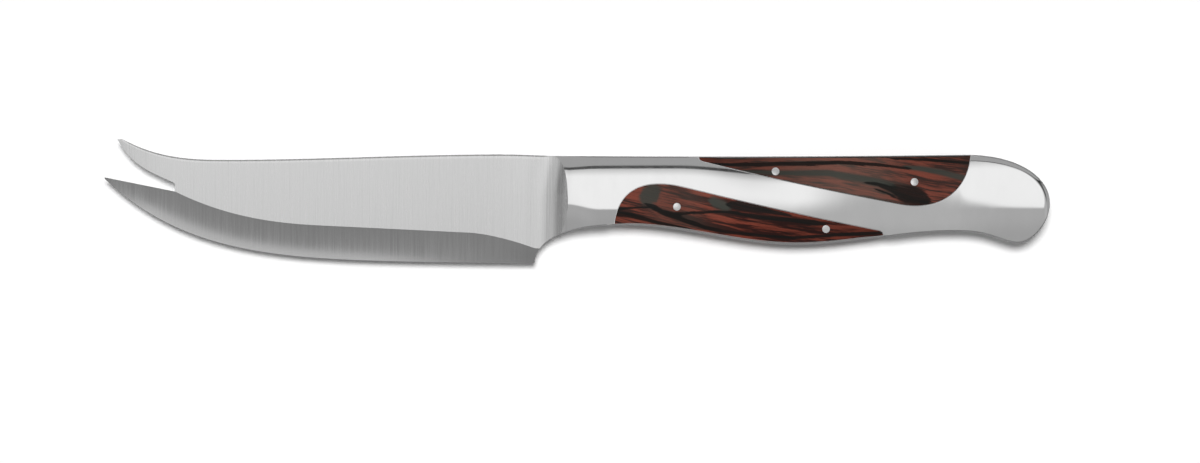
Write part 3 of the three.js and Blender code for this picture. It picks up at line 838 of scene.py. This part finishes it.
def upper_flat():
    """Flat above the seam, with the upper tine: a chamfer runs along the spine, and the thickness tapers
    towards the tine's tip with the square of the share."""
    tine_x = tine_columns(UPPER_TIP_X, CORNER_X)
    corner_cut = SLOT_CORNER_CUT * share_of(tine_x, SLOT_END_X - SLOT_CORNER, CORNER_X) ** 2
    tine_low = np.column_stack([tine_x, upper_tine_underside(tine_x) - corner_cut])
    low = np.vstack([tine_low[:-1], SEAM])
    x = np.concatenate([tine_x[:-1], blade_columns(CORNER_X, BOLSTER_TOP_X)])
    top = np.column_stack([x, spine_height(x)])
    length = np.linalg.norm(top - low, axis=1)
    fade = np.concatenate([np.zeros(TINE_STEPS), NEAR_BOLSTER])
    rows = mix(edge_rows(length), HIGH_ROWS[:, None], fade[None, :])
    bend = BOLSTER[SEAM_ROW:, 0] - mix(SEAM_END[0], BOLSTER_TOP_X, HIGH_ROWS)
    grid = bent_columns(low, top, rows, bend, fade)
    from_spine = (1.0 - rows) * length
    chamfer = SPINE_CHAMFER_SLOPE * np.maximum(0.0, SPINE_CHAMFER - from_spine) * (1.0 - fade)
    taper = 1.0 - (1.0 - TINE_TIP_HALF / TIP_HALF) * share_of(x, TINE_TAPER_X, UPPER_TIP_X) ** 2
    return with_thickness(grid, (blade_half(grid[:, :, 0], grid[:, :, 1]) - chamfer) * taper)


def lower_flat():
    """Flat from the slot's end and the grind line up to the seam, bent round the slot's upper corner."""
    length = np.linalg.norm(SEAM - GRIND_BORDER, axis=1)
    rows = mix(edge_rows(length), LOW_ROWS[:, None], NEAR_BOLSTER[None, :])
    bend = BOLSTER[: SEAM_ROW + 1, 0] - mix(BOLSTER_LOW_X, SEAM_END[0], LOW_ROWS)
    grid = bent_columns(GRIND_BORDER, SEAM, rows, bend, NEAR_BOLSTER)
    near_slot = 1.0 - smooth(share_of(np.arange(len(SEAM)), 0, SLOT_COLUMNS))
    slot_rows = rows[:, 0]
    slot_bend = SLOT_CORNER_CUT * (slot_rows - share_of(slot_rows, SLOT_BEND_FROM, 1.0) ** 2)
    grid[:, :, 0] += slot_bend[:, None] * near_slot[None, :]
    return with_thickness(grid, blade_half(grid[:, :, 0], grid[:, :, 1]))


def bevel_face():
    """Bevel from the edge up to the lower tine's top and the grind line: a straight slope less a parabola.
    This hollow is shallow at the tip, where the bevel is short, and at the heel."""
    tine_x = tine_columns(TIP_X, SLOT_END_X)[:-1]
    tine_top = np.column_stack([tine_x, grind_line(tine_x)])
    top = np.vstack([tine_top, GRIND_BORDER[: FLAT_STEPS + 1]])
    edge_x = np.concatenate([tine_x, np.linspace(SLOT_END_X, HEEL_X, FLAT_STEPS + 1)])
    low = np.column_stack([edge_x, cutting_edge(edge_x)])
    length = np.linalg.norm(top - low, axis=1)
    rows = edge_rows(length)
    heel_rows = rows[:, -1]
    heel_bend = heel_curve_x(mix(-HEEL_DEPTH, HEEL[1], heel_rows)) - mix(HEEL_X, HEEL[0], heel_rows)
    last = len(edge_x) - 1
    near_heel = smooth(share_of(np.arange(len(edge_x)), last - HEEL_COLUMNS, last))
    grid = bent_columns(low, top, rows, heel_bend, near_heel)
    taper = mix(TINE_TIP_HALF / TIP_HALF, 1.0, share_of(top[:, 0], TIP_X, SLOT_END_X))
    top_half = blade_half(top[:, 0], top[:, 1]) * taper
    front = BEVEL_HOLLOW_FRONT * share_of(length, 0.0, BEVEL_HOLLOW_LENGTH) ** 2
    deepest = mix(front, BEVEL_HOLLOW_HEEL, smooth(share_of(edge_x, *BEVEL_HOLLOW_X)))
    hollow = 4.0 * deepest * taper * rows * (1.0 - rows)
    return with_thickness(grid, mix(EDGE_HALF, top_half[None, :], rows) - hollow)


def blade_patches():
    """Flats and bevels of the blade, and strips across its spine, fork, edge, heel and bolster line."""
    upper, lower, bevel = upper_flat(), lower_flat(), bevel_face()
    borders = [
        (upper[-1], 3),
        (upper[0, : TINE_STEPS + 1], 4),
        (lower[:, 0], 4),
        (bevel[-1, : TINE_STEPS + 1], 5),
        (bevel[:, 0], 6),
        (bevel[0], 7),
        (bevel[:, -1], 8),
        (lower[0, FLAT_STEPS:], 8),
        (BOLSTER, 9),
    ]
    strips = [(across(border), group, 0) for border, group in borders]
    return both_sides([(upper, 1, 0), (lower, 1, 0), (bevel, 2, 1)]) + strips


# Handle, inlays and pins


def handle_stations():
    """Evenly spread stations between the named ones, and a sine-spaced run to the butt's end."""
    places = list(STATIONS.values())
    spans = zip(places, places[1:], STATION_STEPS)
    runs = [np.linspace(start, stop, steps, endpoint=False) for start, stop, steps in spans]
    turn = np.sin(np.linspace(0.0, np.pi / 2.0, BUTT_STEPS + 1))
    return np.concatenate(runs + [mix(STATIONS["upper_end"], STATIONS["butt"], turn)])


def outline_turn(station, side):
    """How far round an inlay's outline each station is, from 0 at its point to 3 at its rounded end."""
    places = [STATIONS[name] for name in OUTLINE_STATIONS[side]]
    turns = list(range(len(places)))
    if side < 0:
        places, turns = places[::-1], turns[::-1]
    return np.interp(station, places, turns)


def outline_ends(side):
    """First and last station of an inlay's outline."""
    places = sorted(STATIONS[name] for name in OUTLINE_STATIONS[side])
    return places[0], places[-1]


def outline_span(station, side):
    """Stations that belong to an inlay's outline, ends included."""
    first, last = outline_ends(side)
    return (station >= first - HAIR) & (station <= last + HAIR)


def strip_places(station, side):
    """Points along the strip at the handle's edge, one for each station."""
    start = BOLSTER_TOP_X if side > 0 else BOLSTER_LOW_X
    places = [STATIONS["bolster"], *outline_ends(side), STATIONS["butt"]]
    x = np.interp(station, places, [start, *sorted([POINT_X[side], ROUND_END_X[side]]), END_X])
    return np.column_stack([x, strip_height(x, side), strip_half(x, side)])


def edge_strip(places, side):
    """Strip from the left side over spine or underside to the right side: flat, with slanting borders."""
    x, border_y, strip = places.T
    flat = strip - strip_drop(x, side)
    z = np.linspace(1.0, -1.0, ACROSS_STEPS + 1)[:, None] * flat[None, :]
    z = np.vstack([strip, z, -strip])
    y = np.broadcast_to(handle_edge(x, side), z.shape).copy()
    y[0], y[-1] = border_y, border_y
    return np.stack([np.broadcast_to(x, z.shape), y, z], axis=-1)


def at_depth(points, half):
    """The same points at another distance from the middle plane."""
    moved = points.copy()
    moved[:, 2] = half
    return moved


def pocket(outline_top, strip):
    """Wall and floor of an inlay's pocket: down from the outline to the tang, then out to the strip."""
    foot = at_depth(outline_top, TANG_HALF)
    return np.stack([outline_top, foot]), np.stack([foot, strip])


def handle_patches():
    """Polished steel of the handle: sides between the borders, edge strips, and the four pockets."""
    station = handle_stations()
    strips = {side: strip_places(station, side) for side in SIDES}
    spans = {side: outline_span(station, side) for side in SIDES}
    ends = {side: np.flatnonzero(spans[side])[[0, -1]] for side in SIDES}
    borders = {}
    for side in SIDES:
        borders[side] = strips[side][:, :2].copy()
        borders[side][spans[side]] = inlay_outline(side, outline_turn(station[spans[side]], side))
        borders[side][ends[side]] = strips[side][ends[side], :2]

    length = np.linalg.norm(borders[1] - borders[-1], axis=1)
    near_bolster = 1.0 - smooth(share_of(station, STATIONS["bolster"], STATIONS["lower_end"]))
    even_rows = edge_rows(length, len(BOLSTER_ROWS) - 2 * len(EDGE_ROWS))
    rows = mix(even_rows, BOLSTER_ROWS[:, None], near_bolster[None, :])
    bend = BOLSTER[:, 0] - mix(BOLSTER_LOW_X, BOLSTER_TOP_X, BOLSTER_ROWS)
    grid = bent_columns(borders[-1], borders[1], rows, bend, near_bolster)
    half = handle_side_half(grid[:, :, 0], grid[:, :, 1])
    for side, distance in ((1, (1.0 - rows) * length), (-1, rows * length)):
        rim = np.clip(half[BORDER_ROW[side]] - TANG_HALF, 0.0, POCKET_RIM)
        half = half - eased(distance, POCKET_RIM) * np.where(spans[side], rim, 0.0) / POCKET_RIM
    side_grid = with_thickness(grid, half)
    side_grid[:, 0] = BOLSTER

    sides = [(side_grid, 1, 0)]
    for side in SIDES:
        border = side_grid[BORDER_ROW[side]]
        along_strip = ~spans[side]
        along_strip[ends[side]] = True
        border[along_strip, 2] = strips[side][along_strip, 2]
        wall, floor = pocket(border[spans[side]], strips[side][spans[side]])
        sides += [(wall, 2, 0), (floor, 3, 0)]
    edges = [(edge_strip(strips[side], side), 1, 1) for side in SIDES]
    return both_sides(sides) + edges + [(across(BOLSTER), 4, 0)]


def inlay_patches(side, left):
    """Wood inlay: its crowned outer face with eased edges, the wall round it, and its base on the tang."""
    station = handle_stations()
    station = station[outline_span(station, side)]
    outline = inlay_outline(side, outline_turn(station, side), JOINT_GAP)
    strip_x = mix(outline[0, 0], outline[-1, 0], share_of(station, station[0], station[-1]))
    strip = np.column_stack([strip_x, strip_height(strip_x, side)])
    length = np.linalg.norm(strip - outline, axis=1)
    rows = edge_rows(length, WOOD_ROWS)
    grid = mix(outline[None, :, :], strip[None, :, :], rows[:, :, None])
    half = handle_side_half(grid[:, :, 0], grid[:, :, 1])
    room = np.clip(half[0] - TANG_HALF, 0.0, INLAY_EASE) / INLAY_EASE
    outer = with_thickness(grid, half - eased(rows * length, INLAY_EASE) * room)
    outer[-1, :, 2] = TANG_HALF
    outer[:, [0, -1], 2] = TANG_HALF
    outline_foot, strip_foot = [at_depth(outer[row], TANG_HALF - INLAY_SINK) for row in (0, -1)]
    patches = [
        (outer, 1, 0),
        (np.stack([outer[0], outline_foot]), 2, 0),
        (np.stack([outline_foot, strip_foot]), 3, 0),
        (np.stack([strip_foot, outer[-1]]), 4, 0),
    ]
    return patches if left else both_sides(patches)[len(patches):]


def streak_share(points, streaks):
    """How far points lie in the nearest streak: one in its middle, falling as a bell with the distance
    along y over the streak's half width, and fading at its ends."""
    share = np.zeros(len(points))
    along = points[:, 0]
    for streak in streaks:
        x, middle, half = np.array(streak, dtype=float).T
        off = (points[:, 1] - np.interp(along, x, middle)) / np.interp(along, x, half)
        front = share_of(along, x[0] - STREAK_END_OUT, x[0] + STREAK_END_IN)
        rear = share_of(along, x[-1] + STREAK_END_OUT, x[-1] - STREAK_END_IN)
        share = np.maximum(share, front * rear * np.exp(-(off**2)))
    return share


def along_handle(points, line):
    """Values at points, from a list of distances back and values there."""
    return np.interp(points[:, 0], *np.array(line, dtype=float).T)


def wood_figure(side):
    """What is kept at a wood's points: its tone and veil, which are painted sheen and shade, how black it
    is, how far dark streaks are greyed by painted sheen, and its place along and across the fibres."""

    def figure(points):
        across_fibres = points[:, 1] - along_handle(points, FIBRE_LINE[side])
        return {
            "tone": along_handle(points, WOOD_SHEEN_AND_SHADE_TONE[side]),
            "sheen_veil": along_handle(points, WOOD_SHEEN_VEIL[side]),
            "black": streak_share(points, BLACK_STREAKS[side]),
            "sheen_greyed": streak_share(points, SHEEN_GREYED_STREAKS[side]),
            "lie": np.column_stack([points[:, 0], across_fibres, points[:, 2]]) * MM,
        }

    return figure


def pin_patches(x, side, from_band):
    """Pin whose ends follow the handle's surface, slightly domed on the left and flush on the side it lies
    on: a profile turned about the pin's axis."""
    centre_y = band_edge(x, side) + side * from_band
    radius = PIN_RADIUS * PIN_RINGS
    turn = np.linspace(0.0, 2.0 * np.pi, PIN_STEPS + 1)
    ring_x = x + radius[:, None] * np.cos(turn)
    ring_y = centre_y + radius[:, None] * np.sin(turn)
    dome = PIN_PROUD + PIN_DOME * (1.0 - PIN_RINGS**2)
    flush = handle_side_half(ring_x, ring_y) - eased(PIN_RADIUS - radius, PIN_EASE)[:, None]
    left = np.stack([ring_x, ring_y, flush + dome[:, None]], axis=-1)
    right = mirrored(np.stack([ring_x, ring_y, flush], axis=-1))
    return [(left, 1, 0), (right, 1, 0), (np.stack([left[-1], right[-1]]), 2, 0)]


# Finishes


def new_material(name):
    """New material, and its node tree."""
    material = bpy.data.materials.new(name)
    material.use_nodes = True
    return material, material.node_tree


def feed(tree, socket, value):
    """Links another node's output to a socket, or gives the socket a plain value."""
    if isinstance(value, bpy.types.NodeSocket):
        tree.links.new(value, socket)
    else:
        socket.default_value = value


def grain_group():
    """Node group for grain: noise over a place, squeezed by a number per axis, finer steps by detail."""
    tree = bpy.data.node_groups.new("grain", "ShaderNodeTree")
    tree.interface.new_socket("Place", in_out="INPUT", socket_type="NodeSocketVector")
    tree.interface.new_socket("Squeeze", in_out="INPUT", socket_type="NodeSocketVector")
    tree.interface.new_socket("Detail", in_out="INPUT", socket_type="NodeSocketFloat")
    tree.interface.new_socket("Grain", in_out="OUTPUT", socket_type="NodeSocketFloat")
    given = tree.nodes.new("NodeGroupInput")
    result = tree.nodes.new("NodeGroupOutput")
    squeezed = tree.nodes.new("ShaderNodeVectorMath")
    squeezed.operation = "MULTIPLY"
    feed(tree, squeezed.inputs[0], given.outputs["Place"])
    feed(tree, squeezed.inputs[1], given.outputs["Squeeze"])
    noise = tree.nodes.new("ShaderNodeTexNoise")
    feed(tree, noise.inputs["Vector"], squeezed.outputs["Vector"])
    feed(tree, noise.inputs["Scale"], 1.0)
    feed(tree, noise.inputs["Detail"], given.outputs["Detail"])
    feed(tree, noise.inputs["Roughness"], GRAIN_ROUGHNESS)
    feed(tree, result.inputs["Grain"], noise.outputs["Fac"])
    return tree


GRAIN = grain_group()


def grain_node(tree, place, squeeze, detail):
    """Grain over a place, squeezed by so many steps per metre along x, y and z."""
    node = tree.nodes.new("ShaderNodeGroup")
    node.node_tree = GRAIN
    feed(tree, node.inputs["Place"], place)
    feed(tree, node.inputs["Squeeze"], squeeze)
    feed(tree, node.inputs["Detail"], detail)
    return node.outputs["Grain"]


def tone_node(tree, value, dark, light):
    """Colour that runs from dark to light as the grain goes from low to high."""
    tone = tree.nodes.new("ShaderNodeValToRGB")
    for element, position, colour in zip(tone.color_ramp.elements, TONE_SPAN, (dark, light)):
        element.position = position
        element.color = (*colour, 1.0)
    feed(tree, tone.inputs["Fac"], value)
    return tone.outputs["Color"]


def ramp_node(tree, value, given, wanted, gentle=True):
    """Map Range node from one pair of values to another, with gentle ends or straight."""
    ramp = tree.nodes.new("ShaderNodeMapRange")
    ramp.interpolation_type = "SMOOTHSTEP" if gentle else "LINEAR"
    sockets = ("Value", "From Min", "From Max", "To Min", "To Max")
    for socket, number in zip(sockets, (value, *given, *wanted)):
        feed(tree, ramp.inputs[socket], number)
    return ramp.outputs["Result"]


def math_node(tree, operation, result, *others):
    """Math nodes that take up one value after the other into the result."""
    for other in others:
        node = tree.nodes.new("ShaderNodeMath")
        node.operation = operation
        feed(tree, node.inputs[0], result)
        feed(tree, node.inputs[1], other)
        result = node.outputs["Value"]
    return result


def attribute_node(tree, name, output):
    """Output of an Attribute node for values kept at a piece's points."""
    node = tree.nodes.new("ShaderNodeAttribute")
    node.attribute_name = name
    return node.outputs[output]


def over_node(tree, share, under_colour, over_colour):
    """Colour laid over another one by a share."""
    blend = tree.nodes.new("ShaderNodeMix")
    blend.data_type = "RGBA"
    under, over = [socket for socket in blend.inputs if socket.type == "RGBA"]
    feed(tree, blend.inputs["Factor"], share)
    feed(tree, under, under_colour)
    feed(tree, over, (*over_colour, 1.0))
    return [socket for socket in blend.outputs if socket.type == "RGBA"][0]


def steel_finish(name, squeeze, greys, gloss, relief):
    """Steel with grain: its grey, its roughness and a slight relief all follow the grain."""
    material, tree = new_material(name)
    shader = tree.nodes["Principled BSDF"]
    place = tree.nodes.new("ShaderNodeTexCoord").outputs["Object"]
    grain = grain_node(tree, place, squeeze, STEEL_DETAIL)
    dark, light = [(grey, grey, grey) for grey in greys]
    bump = tree.nodes.new("ShaderNodeBump")
    feed(tree, bump.inputs["Strength"], relief)
    feed(tree, bump.inputs["Distance"], RELIEF_DEPTH)
    feed(tree, bump.inputs["Height"], grain)
    feed(tree, shader.inputs["Metallic"], 1.0)
    feed(tree, shader.inputs["Base Color"], tone_node(tree, grain, dark, light))
    feed(tree, shader.inputs["Roughness"], ramp_node(tree, grain, GRAIN_SPAN, gloss))
    feed(tree, shader.inputs["Normal"], bump.outputs["Normal"])
    return material


def streaked_wood(name):
    """Dense red-brown wood: fibres along the handle, a pale veil and a tone of painted sheen and shade, and
    streaks that the fibres fray.
    """
    material, tree = new_material(name)
    shader = tree.nodes["Principled BSDF"]
    lie = attribute_node(tree, "lie", "Vector")
    fibre = grain_node(tree, lie, FIBRE_SQUEEZE, FIBRE_DETAIL)
    cloud = grain_node(tree, lie, CLOUD_SQUEEZE, CLOUD_DETAIL)
    light_share = ramp_node(tree, math_node(tree, "ADD", fibre, cloud), RED_SPAN, (0.0, 1.0), gentle=False)
    colour = tone_node(tree, light_share, WOOD_DARK, WOOD_LIGHT)
    # The veil lays painted sheen, a pale grey, over the red
    colour = over_node(tree, attribute_node(tree, "sheen_veil", "Fac"), colour, WOOD_SHEEN_PALE)
    fray = ramp_node(tree, fibre, GRAIN_SPAN, STREAK_FRAY, gentle=False)
    covered = {}
    for streak, border in STREAK_BORDERS.items():
        frayed = math_node(tree, "ADD", attribute_node(tree, streak, "Fac"), fray)
        covered[streak] = ramp_node(tree, frayed, border, (0.0, STREAK_COVER))
    # Greyer streaks: dark wood lightened to dark grey by painted sheen
    colour = over_node(tree, covered["sheen_greyed"], colour, WOOD_SHEEN_GREYED_DARK)
    # The tone scales the red lighter or darker along the handle as painted sheen and shade
    sheen_and_shade_toned = tree.nodes.new("ShaderNodeVectorMath")
    sheen_and_shade_toned.operation = "SCALE"
    feed(tree, sheen_and_shade_toned.inputs["Vector"], colour)
    feed(tree, sheen_and_shade_toned.inputs["Scale"], attribute_node(tree, "tone", "Fac"))
    colour = over_node(tree, covered["black"], sheen_and_shade_toned.outputs["Vector"], WOOD_BLACK)
    feed(tree, shader.inputs["Base Color"], colour)
    feed(tree, shader.inputs["Roughness"], ramp_node(tree, fibre, GRAIN_SPAN, WOOD_GLOSS))
    feed(tree, shader.inputs["Specular IOR Level"], WOOD_SPECULAR)
    return material


STEEL = {name: steel_finish(name, *values) for name, values in STEEL_FINISHES.items()}
WOOD = streaked_wood("streaked_wood")
# The bevel's finish is darker than the flat's as painted shade
BLADE_FINISHES = [STEEL["brushed_flat"], STEEL["brushed_bevel_painted_shade"]]
# The handle's edge strips carry a darker grey of painted shade
HANDLE_FINISHES = [STEEL["polished_side"], STEEL["satin_edge_painted_shade"]]

make_piece("brushed_blade", blade_patches(), "forged_body", BLADE_FINISHES)
make_piece("polished_handle", handle_patches(), "forged_body", HANDLE_FINISHES)
for half_name, half_side in (("upper", 1), ("lower", -1)):
    for flank, is_left in (("left", True), ("right", False)):
        inlay = f"{half_name}_{flank}_inlay"
        patches = inlay_patches(half_side, is_left)
        make_piece("wood_" + inlay, patches, inlay, [WOOD], wood_figure(half_side))
for pin, (pin_x, pin_side, pin_from_band) in PINS.items():
    patches = pin_patches(pin_x, pin_side, pin_from_band)
    make_piece("domed_" + pin, patches, pin, [STEEL["satin_pin"]])

# Floor, light and camera


def flat_sheet(name, x_range, y_range, height, faces_up, material):
    """Rectangle at a height, facing up or down."""
    corners = [(x_range[i], y_range[j], height) for i, j in ((0, 0), (1, 0), (1, 1), (0, 1))]
    mesh = bpy.data.meshes.new(name)
    mesh.from_pydata(corners, [], [(0, 1, 2, 3) if faces_up else (0, 3, 2, 1)])
    mesh.materials.append(material)
    sheet = bpy.data.objects.new(name, mesh)
    bpy.context.collection.objects.link(sheet)
    return sheet


def white_floor():
    """Matt white floor that keeps shadows, with a little light of its own where it is seen or mirrored."""
    material, tree = new_material("white_floor")
    inputs = tree.nodes["Principled BSDF"].inputs
    feed(tree, inputs["Base Color"], (FLOOR_WHITE, FLOOR_WHITE, FLOOR_WHITE, 1.0))
    feed(tree, inputs["Roughness"], 1.0)
    feed(tree, inputs["Specular IOR Level"], 0.0)
    rays = tree.nodes.new("ShaderNodeLightPath").outputs
    kinds = [rays[name] for name in ("Is Camera Ray", "Is Glossy Ray", "Is Transmission Ray")]
    seen = math_node(tree, "MAXIMUM", *kinds)
    feed(tree, inputs["Emission Strength"], math_node(tree, "MULTIPLY", seen, FLOOR_GLOW))
    feed(tree, inputs["Emission Color"], (1.0, 1.0, 1.0, 1.0))
    return material


FLOOR_RANGE = (-FLOOR_HALF, FLOOR_HALF)
floor = flat_sheet("floor", FLOOR_RANGE, FLOOR_RANGE, 0.0, True, white_floor())


def studio_world():
    """Even grey studio: one level where it is seen or mirrored, a lower one as light on matt surfaces."""
    world = bpy.data.worlds.new("studio")
    world.use_nodes = True
    tree = world.node_tree
    rays = tree.nodes.new("ShaderNodeLightPath").outputs
    level = ramp_node(tree, rays["Is Diffuse Ray"], (0.0, 1.0), (WORLD_SEEN, WORLD_LIGHT), gentle=False)
    feed(tree, tree.nodes["Background"].inputs["Strength"], level)
    feed(tree, tree.nodes["Background"].inputs["Color"], (1.0, 1.0, 1.0, 1.0))
    bpy.context.scene.world = world


studio_world()


def softbox_glow():
    """Glow of the panel: it fades to grey towards both ends and its far side, has a dark frame along its
    far and right sides, and blurs into a grey surround on its near side."""
    material, tree = new_material("softbox")
    tree.nodes.remove(tree.nodes["Principled BSDF"])
    split = tree.nodes.new("ShaderNodeSeparateXYZ")
    feed(tree, split.inputs["Vector"], tree.nodes.new("ShaderNodeTexCoord").outputs["Object"])
    x, y = split.outputs["X"], split.outputs["Y"]
    level = ramp_node(tree, x, BOX_FADE_RIGHT, (BOX_RIGHT_LEVEL, BOX_RADIANCE))
    shares = [ramp_node(tree, x, fade, (share, 1.0)) for fade, share in BOX_FADES_LEFT]
    shares.append(ramp_node(tree, y, (BOX_Y[1], BOX_Y[1] - BOX_FADE_FAR), (BOX_FAR_SHARE, 1.0)))
    for place, frame_start in ((y, BOX_Y[1]), (x, BOX_X[1] - BOX_FRAME_RIGHT)):
        blur = (frame_start, frame_start - BOX_FRAME_BLUR)
        shares.append(ramp_node(tree, place, blur, (BOX_FRAME_SHARE, 1.0)))
    level = math_node(tree, "MULTIPLY", level, *shares)
    surround = math_node(
        tree,
        "MULTIPLY",
        ramp_node(tree, x, BOX_SURROUND_X, BOX_SURROUND),
        ramp_node(tree, y, BOX_SURROUND_FADE, (1.0, BOX_SURROUND_SHARE)),
        ramp_node(tree, x, BOX_SURROUND_LEFT, (BOX_SURROUND_LEFT_GAIN, 1.0)),
    )
    blur_end = ramp_node(tree, x, BOX_BLUR_X, [BOX_Y[0] + blur for blur in BOX_BLUR_NEAR])
    glow = tree.nodes.new("ShaderNodeEmission")
    feed(tree, glow.inputs["Strength"], ramp_node(tree, y, (BOX_Y[0], blur_end), (surround, level)))
    feed(tree, tree.nodes["Material Output"].inputs["Surface"], glow.outputs["Emission"])
    return material


PANEL_Y = (BOX_Y[0] - BOX_SURROUND_NEAR, BOX_Y[1] + BOX_FRAME_FAR)
panel = flat_sheet("softbox", BOX_X, PANEL_Y, BOX_HEIGHT, False, softbox_glow())
panel.visible_camera = False
panel.visible_shadow = False
panel.visible_diffuse = False

# The key light lights matt surfaces and draws the soft shadow below the knife
key = bpy.data.lights.new("key", "SUN")
key.energy = KEY_STRENGTH
key.angle = np.radians(KEY_ANGLE)
key_object = bpy.data.objects.new("key", key)
key_object.rotation_euler = Vector(KEY_FROM).to_track_quat("Z", "Y").to_euler()
key_object.visible_glossy = False
bpy.context.collection.objects.link(key_object)

camera_data = bpy.data.cameras.new("camera")
camera_data.sensor_width = SENSOR_WIDTH
camera_data.lens = SENSOR_WIDTH * CAMERA_HEIGHT / FRAME_WIDTH
camera = bpy.data.objects.new("camera", camera_data)
camera.location = (CAMERA_X, CAMERA_Y, CAMERA_HEIGHT + ORIGIN[2])
bpy.context.collection.objects.link(camera)
bpy.context.scene.camera = camera
bpy.context.scene.view_settings.view_transform = "Standard"
